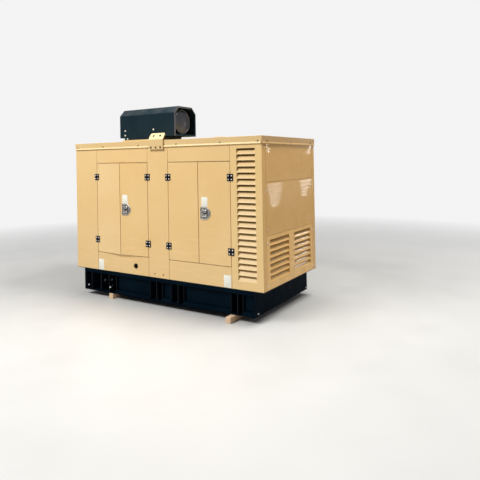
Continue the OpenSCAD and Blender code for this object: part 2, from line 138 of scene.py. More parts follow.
def buildSheetRipple():
    # thin sheet never lies quite flat, and sprayed paint has a fine skin on top of that
    group, given, result = newGroup("sheetRipple", [
        ("Wave Scale", scalar, 3.0), ("Wave Depth", scalar, 0.0006),
        ("Level Scale", scalar, 6.0), ("Level Depth", scalar, 0.0),
        ("Skin Scale", scalar, 350.0), ("Skin Depth", scalar, 0.00001)], [("Height", scalar)])
    waves = calc(group, "MULTIPLY", noise(group, given["Wave Scale"], 1.2), given["Wave Depth"])
    level = noise(group, given["Level Scale"], 2.0, place(group, (0.5, 0.5, 6.0)))
    level = calc(group, "MULTIPLY", level, given["Level Depth"])
    skin = calc(group, "MULTIPLY", noise(group, given["Skin Scale"], 2.0), given["Skin Depth"])
    feed(group, calc(group, "ADD", calc(group, "ADD", waves, level), skin), result["Height"])
    return group


def buildPaintTone():
    # soft patches of a second tone
    group, given, result = newGroup("paintTone", [
        ("Color", tint, (0.8, 0.8, 0.8, 1)), ("Second Color", tint, (0.7, 0.7, 0.7, 1)),
        ("Patch Scale", scalar, 2.0), ("Patch Amount", scalar, 0.5)], [("Color", tint)])
    patches = spread(group, noise(group, given["Patch Scale"], 3.0), 0.36, 0.64)
    patches = calc(group, "MULTIPLY", patches, given["Patch Amount"], True)
    feed(group, mixColor(group, patches, given["Color"], given["Second Color"]), result["Color"])
    return group


def buildSettledDust():
    # dust lies on what faces up, and splashes on what stands near the ground
    group, given, result = newGroup("settledDust", [
        ("Color", tint, (0.8, 0.8, 0.8, 1)), ("Dust Color", tint, (0.5, 0.46, 0.4, 1)),
        ("Top Amount", scalar, 0.4), ("Foot Amount", scalar, 0.2)],
        [("Color", tint), ("Mask", scalar)])
    rising, height = component(group, surfaceNormal(group), "Z"), component(group, objectPoint(group), "Z")
    top = calc(group, "MULTIPLY", spread(group, rising, 0.35, 0.95), given["Top Amount"])
    foot = calc(group, "MULTIPLY", spread(group, height, 0.34, 0.06), given["Foot Amount"])
    cloud = spread(group, noise(group, 7.0, 6.0), *noiseBand)
    mask = calc(group, "MULTIPLY", calc(group, "ADD", top, foot, True), cloud, True)
    feed(group, mixColor(group, mask, given["Color"], given["Dust Color"]), result["Color"])
    feed(group, mask, result["Mask"])
    return group


def buildRubMarks():
    # faint slanting wipe marks, strongest low down
    group, given, result = newGroup("rubMarks", [
        ("Amount", scalar, 0.4), ("Low Edge", scalar, 0.3), ("High Edge", scalar, 1.0)],
        [("Mask", scalar)])
    lines = noise(group, 5.5, 3.0, place(group, (0.8, 0.8, 7.0), (0, math.radians(-17), 0)))
    marks = spread(group, lines, 0.52, 0.70)
    height = component(group, objectPoint(group), "Z")
    lowly = spread(group, height, given["High Edge"], given["Low Edge"])
    marks = calc(group, "MULTIPLY", calc(group, "MULTIPLY", marks, lowly), given["Amount"])
    feed(group, marks, result["Mask"])
    return group


def buildLouvreDepth():
    # painted shade: darker the deeper a point lies behind the wall face between louvre blades, which are
    # pressed a little round
    group, given, result = newGroup("louvreDepth", [
        ("Color", tint, (0.8, 0.8, 0.8, 1)), ("Shade Color", tint, (0.150, 0.064, 0.006, 1)),
        ("Wall Side", arrow, (1, 0, 0)), ("Wall Face", scalar, 1.0), ("Reach", scalar, 0.031),
        ("Shade Start", scalar, 0.8), ("Shade Amount", scalar, 0.8), ("Bulge", scalar, 0.001)],
        [("Color", tint), ("Height", scalar)])
    out = calc(group, "ABSOLUTE", measure(group, "DOT_PRODUCT", objectPoint(group), given["Wall Side"]))
    deep = calc(group, "DIVIDE", calc(group, "SUBTRACT", given["Wall Face"], out), given["Reach"], True)
    paintedShade = spread(group, deep, given["Shade Start"], 1.0, 0.0, given["Shade Amount"])
    feed(group, mixColor(group, paintedShade, given["Color"], given["Shade Color"]), result["Color"])
    arch = calc(group, "MULTIPLY", calc(group, "MULTIPLY", deep, calc(group, "SUBTRACT", 1.0, deep)), 4.0)
    feed(group, calc(group, "MULTIPLY", arch, given["Bulge"]), result["Height"])
    return group


def buildFineLines():
    # drawn or polished metal: fine lines along one direction, and small dull flecks
    group, given, result = newGroup("fineLines", [
        ("Line Scale", scalar, 60.0), ("Fleck Scale", scalar, 90.0)],
        [("Lines", scalar), ("Flecks", scalar)])
    feed(group, noise(group, given["Line Scale"], 4.0, place(group, (0.4, 0.4, 9.0))), result["Lines"])
    feed(group, spread(group, noise(group, given["Fleck Scale"], 5.0), 0.48, 0.66), result["Flecks"])
    return group


sheetRipple = buildSheetRipple()
paintTone = buildPaintTone()
settledDust = buildSettledDust()
rubMarks = buildRubMarks()
louvreDepth = buildLouvreDepth()
fineLines = buildFineLines()


def useGroup(tree, group, values):
    return addNode(tree, "Group", values, node_tree=group).outputs


def newMaterial(name):
    material = bpy.data.materials.new(name)
    material.use_nodes = True
    return material, material.node_tree, material.node_tree.nodes["Principled BSDF"]


# every painted finish, with what a user would change
paints = {
    "wallPaint": {"color": (0.750, 0.512, 0.230, 1), "second": (0.775, 0.546, 0.261, 1),
                  "patch": (1.6, 0.7), "rough": (0.40, 0.50), "gloss": 0.35, "coat": 0.12, "coatRough": 0.22,
                  "ripple": (2.6, 0.0008, 380, 0.000010), "dust": (0.10, 0.08), "rub": 0.25},
    "doorPaint": {"color": (0.755, 0.508, 0.222, 1), "second": (0.780, 0.545, 0.255, 1),
                  "patch": (1.9, 0.8), "rough": (0.38, 0.50), "gloss": 0.35, "coat": 0.15, "coatRough": 0.2,
                  "ripple": (2.2, 0.0012, 380, 0.000010), "dust": (0.10, 0.05), "rub": 0.6},
    "palePaint": {"color": (0.775, 0.535, 0.250, 1), "second": (0.800, 0.575, 0.290, 1),
                  "patch": (1.9, 0.8), "rough": (0.38, 0.50), "gloss": 0.35, "coat": 0.15, "coatRough": 0.2,
                  "ripple": (2.2, 0.0012, 380, 0.000010), "dust": (0.10, 0.05), "rub": 0.6},
    # endPaint is the wall's tan painted darker and warmer: painted shade for the end faces, which get less
    # light
    "endPaint": {"color": (0.660, 0.395, 0.140, 1), "second": (0.685, 0.420, 0.160, 1),
                 "patch": (2.2, 0.6), "rough": (0.24, 0.32), "gloss": 0.08, "coat": 0.22, "coatRough": 0.042,
                 "ripple": (4.2, 0.0022, 420, 0.000006), "level": 0.00009, "dust": (0.10, 0.05)},
    # bladePaint is the end paint made paler as painted highlight on the end louvre blades, with painted shade
    # deep between them
    "bladePaint": {"color": (0.765, 0.460, 0.160, 1), "second": (0.790, 0.485, 0.180, 1),
                   "patch": (2.2, 0.6), "rough": (0.24, 0.32), "gloss": 0.1, "coat": 0.30, "coatRough": 0.07,
                   "ripple": (4.2, 0.0, 420, 0.000002), "dust": (0.04, 0.05),
                   "louvre": {"Wall Side": (1, 0, 0), "Wall Face": plan["wallEnd"], "Shade Start": 0.80,
                              "Shade Amount": 0.90, "Bulge": 0.0022}},
    # frontBladePaint is the wall paint made a little paler as painted highlight on the front louvre blades,
    # with painted shade deep between them
    "frontBladePaint": {"color": (0.765, 0.535, 0.236, 1), "second": (0.785, 0.560, 0.262, 1),
                        "patch": (1.6, 0.7), "rough": (0.40, 0.50), "gloss": 0.35, "coat": 0.12,
                        "coatRough": 0.22, "ripple": (2.6, 0.0004, 380, 0.000010), "dust": (0.10, 0.08),
                        "louvre": {"Wall Side": (0, 1, 0), "Wall Face": -plan["wallFront"],
                                   "Shade Start": 0.68, "Shade Amount": 0.66, "Bulge": 0.0008}},
    # roofPaint is the wall's tan painted darker as painted shade; its flared lip gets a painted highlight and
    # its end faces the ends' painted shade
    "roofPaint": {"color": (0.665, 0.466, 0.219, 1), "second": (0.694, 0.500, 0.250, 1),
                  "end": (0.490, 0.305, 0.130, 1), "lip": (0.800, 0.625, 0.345, 1),
                  "patch": (2.4, 0.7), "rough": (0.38, 0.52), "gloss": 0.2, "coat": 0.10, "coatRough": 0.25,
                  "ripple": (3.0, 0.0008, 380, 0.000010), "dust": (0.12, 0.0)},
    "skidPaint": {"color": (0.0010, 0.0048, 0.0100, 1), "second": (0.0018, 0.0080, 0.0150, 1),
                  "patch": (3.0, 0.8), "rough": (0.22, 0.32), "gloss": 0.006, "coat": 0.012,
                  "coatRough": 0.06, "ripple": (3.0, 0.0003, 300, 0.000010), "dust": (0.0, 0.0)},
    "bayPaint": {"color": (0.0025, 0.0045, 0.0080, 1), "second": (0.0045, 0.0080, 0.0135, 1),
                 "patch": (5.0, 0.8), "rough": (0.30, 0.42), "gloss": 0.06, "coat": 0.03, "coatRough": 0.2,
                 "ripple": (5.0, 0.0002, 300, 0.000010), "dust": (0.01, 0.0)},
    "hoodPaint": {"color": (0.0065, 0.0185, 0.0275, 1), "second": (0.0095, 0.0240, 0.0345, 1),
                  "patch": (3.5, 0.8), "rough": (0.34, 0.44), "gloss": 0.14, "coat": 0.04, "coatRough": 0.2,
                  "ripple": (3.0, 0.0006, 320, 0.000012), "dust": (0.12, 0.0)},
    "floorPaint": {"color": (0.030, 0.032, 0.036, 1), "second": (0.045, 0.047, 0.050, 1),
                   "patch": (6.0, 0.8), "rough": (0.5, 0.7), "gloss": 0.3, "coat": 0.0, "coatRough": 0.3,
                   "ripple": (5.0, 0.0008, 260, 0.00003), "dust": (0.4, 0.0)},
}


def makePaint(name, look):
    material, tree, shader = newMaterial(name)
    tone = useGroup(tree, paintTone, {"Color": look["color"], "Second Color": look["second"],
                                      "Patch Scale": look["patch"][0], "Patch Amount": look["patch"][1]})
    color = tone["Color"]
    if "end" in look:
        # the flared lip, which faces up, gets a paler colour as painted highlight, and the rim's end faces
        # get the end panels' darker tone as painted shade
        normal = surfaceNormal(tree)
        rising = component(tree, normal, "Z")
        lip = calc(tree, "MULTIPLY", spread(tree, rising, 0.25, 0.40), spread(tree, rising, 0.80, 0.65))
        color = mixColor(tree, lip, color, look["lip"])
        endShade = spread(tree, calc(tree, "ABSOLUTE", component(tree, normal, "X")), 0.6, 0.9)
        color = mixColor(tree, endShade, color, look["end"])
    # painted shade deep between louvre blades, and a slight round bump on them
    if "louvre" in look:
        louvre = useGroup(tree, louvreDepth, {"Color": color, **look["louvre"]})
        color = louvre["Color"]
    if "rub" in look:
        marks = useGroup(tree, rubMarks, {"Amount": look["rub"]})["Mask"]
        pale = tuple(min(1.0, c * 1.12 + 0.03) for c in look["second"][:3]) + (1,)
        color = mixColor(tree, marks, color, pale)
    dusty = useGroup(tree, settledDust, {"Color": color, "Top Amount": look["dust"][0],
                                         "Foot Amount": look["dust"][1]})
    rough = spread(tree, noise(tree, 6.0, 4.0), *noiseBand, *look["rough"])
    rough = calc(tree, "ADD", rough, calc(tree, "MULTIPLY", dusty["Mask"], 0.5), True)
    fill(tree, shader, {"Base Color": dusty["Color"], "Roughness": rough, "Specular IOR Level": look["gloss"],
                        "Coat Weight": look["coat"], "Coat Roughness": look["coatRough"]})
    waveScale, waveDepth, skinScale, skinDepth = look["ripple"]
    skin = useGroup(tree, sheetRipple, {"Wave Scale": waveScale, "Wave Depth": waveDepth,
                                        "Level Depth": look.get("level", 0.0),
                                        "Skin Scale": skinScale, "Skin Depth": skinDepth})
    ripple = addBump(tree, skin["Height"], shader.inputs["Normal"])
    if "louvre" in look:
        addBump(tree, louvre["Height"], ripple.inputs["Normal"])
        tree.links.new(ripple.outputs["Normal"], shader.inputs["Coat Normal"])
    return material


# bare and polished metals, rubber and plastic
solids = {
    "silencerSteel": {"color": (0.078, 0.084, 0.098, 1), "second": (0.058, 0.063, 0.075, 1), "metal": 0.6,
                      "rough": (0.27, 0.36), "lines": 8, "flecks": 14, "depth": 0.000003},
    "ringSteel": {"color": (0.175, 0.185, 0.210, 1), "second": (0.130, 0.138, 0.160, 1), "metal": 0.4,
                  "rough": (0.34, 0.44), "lines": 40, "flecks": 90, "depth": 0.00001},
    # mouthEdge is far paler than the hood's paint: a painted highlight on the lit fold of the hood's mouth
    "mouthEdge": {"color": (0.086, 0.088, 0.102, 1), "second": (0.066, 0.068, 0.080, 1), "metal": 0.0,
                  "rough": (0.28, 0.38), "lines": 60, "flecks": 140, "depth": 0.00001},
    "latchChrome": {"color": (0.58, 0.56, 0.54, 1), "second": (0.42, 0.41, 0.40, 1), "metal": 0.75,
                    "rough": (0.16, 0.34), "lines": 90, "flecks": 160, "depth": 0.00001},
    # latchRecess is darker than the chrome: painted shade in the latch's recess
    "latchRecess": {"color": (0.310, 0.290, 0.270, 1), "second": (0.210, 0.195, 0.185, 1), "metal": 0.6,
                    "rough": (0.35, 0.55), "lines": 90, "flecks": 160, "depth": 0.00001},
    "zincSteel": {"color": (0.78, 0.79, 0.80, 1), "second": (0.62, 0.63, 0.64, 1), "metal": 0.45,
                  "rough": (0.25, 0.42), "lines": 120, "flecks": 200, "depth": 0.00002},
    # brightZinc is near-white and barely metallic: the zinc's pale tone with its glint painted in as painted
    # highlight
    "brightZinc": {"color": (0.94, 0.94, 0.92, 1), "second": (0.84, 0.84, 0.82, 1), "metal": 0.1,
                   "rough": (0.28, 0.42), "lines": 120, "flecks": 200, "depth": 0.00002},
    "darkSteel": {"color": (0.15, 0.11, 0.07, 1), "second": (0.26, 0.21, 0.15, 1), "metal": 0.5,
                  "rough": (0.35, 0.55), "lines": 120, "flecks": 200, "depth": 0.00002},
    "hingeBlack": {"color": (0.004, 0.004, 0.005, 1), "second": (0.007, 0.007, 0.008, 1), "metal": 0.0,
                   "rough": (0.36, 0.50), "gloss": 0.12, "lines": 70, "flecks": 300, "depth": 0.00002},
    "plugRubber": {"color": (0.004, 0.0035, 0.003, 1), "second": (0.007, 0.006, 0.005, 1), "metal": 0.0,
                   "rough": (0.55, 0.75), "gloss": 0.08, "lines": 70, "flecks": 260, "depth": 0.00005},
    "sealRubber": {"color": (0.010, 0.010, 0.010, 1), "second": (0.020, 0.020, 0.020, 1), "metal": 0.0,
                   "rough": (0.6, 0.8), "gloss": 0.1, "lines": 70, "flecks": 260, "depth": 0.00005},
    "blankLabel": {"color": (0.86, 0.86, 0.78, 1), "second": (0.82, 0.81, 0.70, 1), "metal": 0.0,
                   "rough": (0.30, 0.42), "lines": 40, "flecks": 120, "depth": 0.00001},
}


def makeSolid(name, look):
    material, tree, shader = newMaterial(name)
    grain = useGroup(tree, fineLines, {"Line Scale": look["lines"], "Fleck Scale": look["flecks"]})
    tone = mixColor(tree, calc(tree, "MULTIPLY", grain["Flecks"], 0.7), look["color"], look["second"])
    rough = spread(tree, grain["Lines"], *noiseBand, *look["rough"])
    fill(tree, shader, {"Base Color": tone, "Roughness": rough, "Metallic": look["metal"],
                        "Specular IOR Level": look.get("gloss", 0.3)})
    addBump(tree, calc(tree, "MULTIPLY", grain["Lines"], look["depth"]), shader.inputs["Normal"])
    return material


timberLook = {"early": (0.80, 0.585, 0.400, 1), "late": (0.60, 0.375, 0.205, 1),
              "stain": (0.45, 0.33, 0.22, 1), "stainAmount": 0.5, "pith": (0.700, 0.0, -0.020),
              "ringScale": 42.0, "ringWobble": 3.0, "fibreScale": 80.0, "rough": (0.62, 0.85),
              "fibreDepth": 0.0006, "ringDepth": 0.0003}


def makeTimber():
    material, tree, shader = newMaterial("timberPine")
    rings = addNode(tree, "TexWave", {
        "Vector": place(tree, (1, 0.15, 1), shift=timberLook["pith"]), "Scale": timberLook["ringScale"],
        "Distortion": timberLook["ringWobble"], "Detail": 3.0, "Detail Scale": 0.4},
        wave_type="RINGS", rings_direction="Y")
    ring = rings.outputs["Fac"]
    fibre = noise(tree, timberLook["fibreScale"], 5.0, place(tree, (3, 0.08, 3)))
    grain = calc(tree, "MULTIPLY", ring, spread(tree, fibre, *noiseBand, 0.35, 0.9))
    wood = mixColor(tree, grain, timberLook["early"], timberLook["late"])
    grime = spread(tree, noise(tree, 9.0, 5.0), 0.52, 0.75, 0.0, timberLook["stainAmount"])
    fill(tree, shader, {"Base Color": mixColor(tree, grime, wood, timberLook["stain"]),
                        "Roughness": spread(tree, fibre, *noiseBand, *timberLook["rough"])})
    relief = calc(tree, "ADD", calc(tree, "MULTIPLY", fibre, timberLook["fibreDepth"]),
                  calc(tree, "MULTIPLY", ring, timberLook["ringDepth"]))
    addBump(tree, relief, shader.inputs["Normal"])
    return material


finishes = {name: makePaint(name, look) for name, look in paints.items()}
finishes.update({name: makeSolid(name, look) for name, look in solids.items()})
finishes["timberPine"] = makeTimber()
print("materials built,", len(finishes))

# which finish each node of the frame gets
nodeFinish = {
    "wallPaint": ["blank_panels", "pillar_front", "pillar_back", "headers_front",
                  "headers_back", "sills_front", "sills_back"],
    "frontBladePaint": ["louvre_panel_front", "louvre_panel_back"],
    "doorPaint": ["door_2", "door_3", "door_4", "doors_back_left", "doors_back_right"],
    "palePaint": ["door_1"],
    "bladePaint": ["end_louvre_panel_right", "end_louvre_panel_left"],
    "endPaint": ["corner_posts", "end_middle_panels", "end_upper_panels"],
    "roofPaint": ["roof", "roof_curb", "lifting_brackets"],
    "skidPaint": ["skid_feet", "skid_chords", "skid_webs", "skid_end_plates", "skid_cross_members"],
    "floorPaint": ["floor_plate"],
    "bayPaint": ["bay_uprights"],
    "hoodPaint": ["hood", "hood_base", "silencer_saddles"],
    "silencerSteel": ["silencer"],
    "hingeBlack": ["hinge_leaves_1", "hinge_leaves_2", "hinge_leaves_3", "hinge_leaves_4",
                   "hinge_frames_front", "hinges_back"],
    "latchChrome": ["latch_left", "latch_right", "latches_back"],
    "plugRubber": ["cable_plug"],
    "timberPine": ["timbers"],
}
# how far the edges are broken, in metres
edgeWidths = {"timbers": 0.003, "lifting_brackets": 0.0022, "roof": 0.0014, "hood": 0.0022,
              "skid_chords": 0.0025, "skid_end_plates": 0.002, "hood_base": 0.002, "roof_curb": 0.003}
edgeRule = {"width": 0.0009, "steps": 2, "from": math.radians(28), "weld": 0.00002}


def dressNode(name, finish):
    thing = nodes[name]
    mesh = thing.data
    mesh.materials.clear()
    mesh.materials.append(finishes[finish])
    for label in ("custom_normal", "sharp_edge", "sharp_face"):
        if label in mesh.attributes:
            mesh.attributes.remove(mesh.attributes[label])
    for face in mesh.polygons:
        face.use_smooth = True
    weld = thing.modifiers.new("weld", "WELD")
    weld.merge_threshold = edgeRule["weld"]
    edges = thing.modifiers.new("edges", "BEVEL")
    edges.width = edgeWidths.get(name, edgeRule["width"])
    edges.segments = edgeRule["steps"]
    edges.limit_method = "ANGLE"
    edges.angle_limit = edgeRule["from"]
    edges.harden_normals = True
    edges.use_clamp_overlap = True


for finish, names in nodeFinish.items():
    for name in names:
        dressNode(name, finish)
print("frame nodes dressed")


# helpers for the added pieces, which are built in the frame's own coordinates

def axesMatrix(x, y, z, point):
    rows = [(*row, offset) for row, offset in zip(zip(x, y, z), point)]
    return Matrix((*rows, (0, 0, 0, 1)))


def faceFrame(point, normal):
    # X to the right as seen from outside, Y up, Z outwards
    out = Vector(normal).normalized()
    side = Vector((0, 0, 1)).cross(out).normalized()
    return axesMatrix(side, out.cross(side), out, point)


def loft(bm, at, rings, capEnd=True, smooth=False):
    rows = [[bm.verts.new(at @ Vector(p)) for p in ring] for ring in rings]
    count = len(rows[0])
    for low, high in zip(rows, rows[1:]):
        for i in range(count):
            j = (i + 1) % count
            bm.faces.new((low[i], low[j], high[j], high[i])).smooth = smooth
    if capEnd:
        bm.faces.new(rows[-1])


def circle(radius, count, phase=0.0):
    turns = [phase + 2 * math.pi * i / count for i in range(count)]
    return [(radius * math.cos(t), radius * math.sin(t)) for t in turns]


def turned(bm, at, profile, count=20, phase=0.0):
    # a round or many-sided body: (radius, height) from its foot to its tip
    rings = [[(x, y, height) for x, y in circle(radius, count, phase)] for radius, height in profile]
    loft(bm, at, rings, smooth=True)


def roundedOutline(corners, radius, steps=4):
    # corners anticlockwise, all convex
    points = []
    count = len(corners)
    for i in range(count):
        here = Vector(corners[i])
        back = (Vector(corners[i - 1]) - here).normalized()
        ahead = (Vector(corners[(i + 1) % count]) - here).normalized()
        half = math.acos(max(-1, min(1, back.dot(ahead)))) / 2
        reach = radius / math.tan(half)
        centre = here + (back + ahead).normalized() * (radius / math.sin(half))
        start, end = here + back * reach - centre, here + ahead * reach - centre
        for k in range(steps + 1):
            spoke = start.lerp(end, k / steps).normalized() * radius
            points.append((centre + spoke)[:])
    return points


def inset(outline, distance):
    # moves each side of a convex outline in by a distance
    count = len(outline)
    moved = []
    for i in range(count):
        a, b, c = (Vector(outline[k % count]) for k in (i - 1, i, i + 1))
        first, second = (b - a).normalized(), (c - b).normalized()
        n1, n2 = Vector((-first.y, first.x)), Vector((-second.y, second.x))
        squeeze = max(1 + n1.dot(n2), 0.2)  # small at a sharp corner, and kept off zero
        moved.append((b + (n1 + n2) * (distance / squeeze))[:])
    return moved


def layers(outline, steps):
    # rings of a shallow relief: (how far in, how high), height may be a function of x and y
    rings = []
    for inward, height in steps:
        ring = inset(outline, inward) if inward else outline
        rings.append([(x, y, height(x, y) if callable(height) else height) for x, y in ring])
    return rings


def block(width, height):
    x, y = width / 2, height / 2
    return [(-x, -y), (x, -y), (x, y), (-x, y)]


sharpFrom = math.radians(40)


def finishPiece(name, bm, finish, body):
    bmesh.ops.recalc_face_normals(bm, faces=bm.faces)
    mesh = bpy.data.meshes.new(name)
    bm.to_mesh(mesh)
    bm.free()
    piece = bpy.data.objects.new(name, mesh)
    bpy.context.scene.collection.objects.link(piece)
    mesh.materials.append(finishes[finish])
    mesh.set_sharp_from_angle(angle=sharpFrom)
    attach(piece, body)
    return piece


# leaf of a door pair: hinge side, hinge place, angle it stands at and the body it rides on
leaves = {
    1: {"side": -1, "pair": -1, "angle": plan["ajar"], "body": "left_outer_door"},
    2: {"side": 1, "pair": -1, "angle": plan["ajar"], "body": "left_inner_door"},
    3: {"side": -1, "pair": 1, "angle": 0.0, "body": "right_inner_door"},
    4: {"side": 1, "pair": 1, "angle": 0.0, "body": "right_outer_door"},
}


def leafFrame(number, across, height, out=0.0, shut=False):
    # a place on a leaf's outer face: how far from the hinge line, and above the doorway's foot
    leaf = leaves[number]
    side, angle = leaf["side"], 0.0 if shut else leaf["angle"]
    hinge = Vector((leaf["pair"] * plan["pairMiddle"] + side * (plan["pairWidth"] / 2 - plan["axisIn"]),
                    plan["wallFront"] - plan["axisOut"], plan["doorFoot"]))
    away = Vector((-side * math.cos(angle), -math.sin(angle), 0))
    normal = Vector((side * math.sin(angle), -math.cos(angle), 0))
    point = hinge + away * across + normal * (out - plan["axisOut"]) + Vector((0, 0, height))
    return faceFrame(point, normal)


def onBack(at):
    # the same place on the back wall
    return Matrix.Diagonal((1, -1, 1, 1)) @ at


# bolts and screws
rng = random.Random(7)
boltKinds = {
    "rimBolt": {"washer": (0.0085, 0.0014), "head": 0.0058, "height": 0.0044},
    "bracketBolt": {"washer": (0.0120, 0.0016), "head": 0.0085, "height": 0.0060},
    "panelBolt": {"washer": (0.0075, 0.0012), "head": 0.0055, "height": 0.0040},
    "hoodBolt": {"washer": (0.0100, 0.0016), "head": 0.0070, "height": 0.0055},
    "skidBolt": {"washer": (0.0090, 0.0018), "head": 0.0064, "height": 0.0050},
}


def addBolt(bm, at, kind):
    # a washer and a hexagon head, turned by chance
    look = boltKinds[kind]
    washer, thick = look["washer"]
    turned(bm, at, [(washer, 0), (washer, thick * 0.7), (washer * 0.94, thick),
                    (look["head"] * 0.9, thick)], 20)
    head, top = look["head"] / math.cos(math.pi / 6), thick + look["height"]
    turned(bm, at, [(head, thick * 0.9), (head, top * 0.86), (head * 0.86, top), (head * 0.2, top)],
           6, rng.uniform(0, 1))


def addScrew(bm, at, radius):
    # pan head with a socket
    turned(bm, at, [(radius, 0), (radius, radius * 0.18), (radius * 0.86, radius * 0.36),
                    (radius * 0.45, radius * 0.42), (radius * 0.40, radius * 0.12),
                    (0.0004, radius * 0.1)], 18)


def boltPiece(name, kind, finish, places):
    bm = bmesh.new()
    for point, normal in places:
        addBolt(bm, faceFrame(point, normal), kind)
    finishPiece(name, bm, finish, "enclosure")


def withBack(places):
    # the places on the front, then the same ones on the back
    return places + [((x, -y, z), (a, -b, c)) for (x, y, z), (a, b, c) in places]


front, right = (0, -1, 0), (1, 0, 0)
rim = {"height": 1.756, "along": (-1.252, -0.821, -0.268, 0.268, 0.821, 1.252),
       "across": (-0.517, 0.008, 0.517)}
rimY, rimX = plan["wallFront"] - plan["rimFace"], plan["wallEnd"] + plan["rimFace"]
boltPiece("rim_bolts", "rimBolt", "darkSteel",
          withBack([((x, rimY, rim["height"]), front) for x in rim["along"]])
          + [((way * rimX, y, rim["height"]), (way, 0, 0)) for way in (1, -1) for y in rim["across"]])

bracketSpots = {"along": (-0.066, 0.0, 0.066), "height": 1.729, "face": -0.643}
boltPiece("bracket_bolts", "bracketBolt", "darkSteel",
          withBack([((x, bracketSpots["face"], bracketSpots["height"]), front)
                    for x in bracketSpots["along"]]))

pillarSpots = {"along": (-0.06, 0.06), "height": 0.358}
boltPiece("pillar_bolts", "panelBolt", "darkSteel",
          withBack([((x, plan["wallFront"], pillarSpots["height"]), front) for x in pillarSpots["along"]]))

endSpots = {"across": (-0.534, 0.534), "heights": (0.360, 0.780, 0.909, 1.277)}
boltPiece("end_panel_bolts", "panelBolt", "zincSteel",
          [((way * plan["wallEnd"], y, z), (way, 0, 0)) for way in (-1, 1)
           for y in endSpots["across"] for z in endSpots["heights"]])

# on the hood's sides, and low on its base
hoodSpots = {"face": -0.207, "places": [(-0.871, 1.962), (-0.873, 1.907), (-0.412, 1.961)],
             "base": (-0.836, -0.205, 1.862)}
boltPiece("hood_bolts", "hoodBolt", "brightZinc",
          withBack([((x, hoodSpots["face"], z), front) for x, z in hoodSpots["places"]])
          + withBack([(hoodSpots["base"], front)]))

skidSpots = {"face": 1.180, "places": [(0.575, 0.086), (-0.542, 0.087)]}
boltPiece("skid_bolts", "skidBolt", "zincSteel",
          [((way * skidSpots["face"], y, z), (way, 0, 0)) for way in (-1, 1) for y, z in skidSpots["places"]])

# a paler strip on the folded edge of the hood's mouth as painted highlight: up the front side and over the
# top, from the hood's box
mouthHighlight = {"slant": 0.078, "width": 0.0205, "thick": 0.0012, "edge": 0.0016, "foot": 0.006}


def addPipe(bm, points, radius, across, count=10):
    # a closed pipe through points that lie in one plane, `across` being that plane's normal
    total, across = len(points), Vector(across)
    rows = []
    for i, point in enumerate(points):
        ahead = (Vector(points[(i + 1) % total]) - Vector(points[i - 1])).normalized()
        outward = ahead.cross(across).normalized()
        rows.append([bm.verts.new(Vector(point) + across * x + outward * y)
                     for x, y in circle(radius, count)])
    for i in range(total):
        low, high = rows[i], rows[(i + 1) % total]
        for k in range(count):
            bm.faces.new((low[k], low[(k + 1) % count], high[(k + 1) % count], high[k])).smooth = True


def buildMouthHighlight():
    low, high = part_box("hood")
    half, height, slant = high.y, high.z - low.z, mouthHighlight["slant"]
    corners = [(-half, 0), (half, 0), (half, height - slant), (half - slant, height),
               (-half + slant, height), (-half, height - slant)]
    thick, edge, width = mouthHighlight["thick"], mouthHighlight["edge"], mouthHighlight["width"]
    bm, rings = bmesh.new(), []
    # across the strip: how far in from the hood's outline, and how far out of the mouth
    section = ((0.0006, -0.006), (0.0, -0.0004), (0.0, thick * 0.5), (edge, thick), (width - edge, thick),
               (width, thick * 0.4), (width, -0.004))
    for back, drop in section:
        ring = inset(corners, back)
        path = [(ring[0][0], mouthHighlight["foot"]), ring[5], ring[4],
                (half - slant - mouthHighlight["foot"], ring[3][1])]
        rings.append([bm.verts.new((high.x + drop, y, low.z + z)) for y, z in path])
    for near, far in zip(rings, rings[1:]):
        for i in range(len(near) - 1):
            bm.faces.new((near[i], far[i], far[i + 1], near[i + 1]))
    for tip in (0, -1):
        bm.faces.new([ring[tip] for ring in rings])
    finishPiece("hood_mouth_highlight", bm, "mouthEdge", "enclosure")


# the rolled seam where the silencer's dished end meets its barrel, and a weld bead behind it:
# how far back, how far below the box's top, and how thick
seamRings = ((0.0275, 0.0012, 0.0034), (0.0420, 0.0030, 0.0016))


# the ring's steel is paler than the silencer's: partly a painted highlight on the seam
def buildSeamRing():
    low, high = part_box("silencer")
    middle, radius = (low.z + high.z) / 2, (high.z - low.z) / 2
    bm = bmesh.new()
    for back, under, thick in seamRings:
        loop = [(high.x - back, y, middle + z) for y, z in circle(radius - under, 72)]
        addPipe(bm, loop, thick, right)
    finishPiece("silencer_seam_ring", bm, "ringSteel", "enclosure")


# dark tubes in the lifting holes as painted shade, from the brackets' box
lift = {"lean": math.radians(33), "up": 0.047, "apart": 0.046, "hole": 0.012, "thick": 0.008,
        "wall": 0.0012, "fold": 1.815}


def buildHoleShades():
    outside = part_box("lifting_brackets")[1].y
    bm = bmesh.new()
    rise, run = math.cos(lift["lean"]), math.sin(lift["lean"])
    r, deep = lift["hole"], lift["thick"]
    bore = r - lift["wall"]
    for way in (-1, 1):
        for x in (-lift["apart"], lift["apart"]):
            face = (x, way * (outside - lift["up"] * run), lift["fold"] + lift["up"] * rise)
            turned(bm, faceFrame(face, (0, way * rise, run)),
                   [(r + 0.0008, 0.0002), (r + 0.0006, 0.0008), (bore, 0.0008), (bore - 0.0004, -0.0010),
                    (bore - 0.0004, -deep + 0.001), (r + 0.0006, -deep - 0.0006)], 28)
    finishPiece("lifting_hole_shades", bm, "hingeBlack", "enclosure")


# fittings on the bays' upright plates: (x, y, z, radius)
bayFittings = {"studs": [(-1.154, -0.575, 0.105, 0.0095), (-0.770, -0.598, 0.122, 0.0085)],
               "discs": [(-0.901, -0.550, 0.181, 0.0160), (-0.770, -0.566, 0.205, 0.0110),
                         (-0.770, -0.562, 0.134, 0.0075)]}


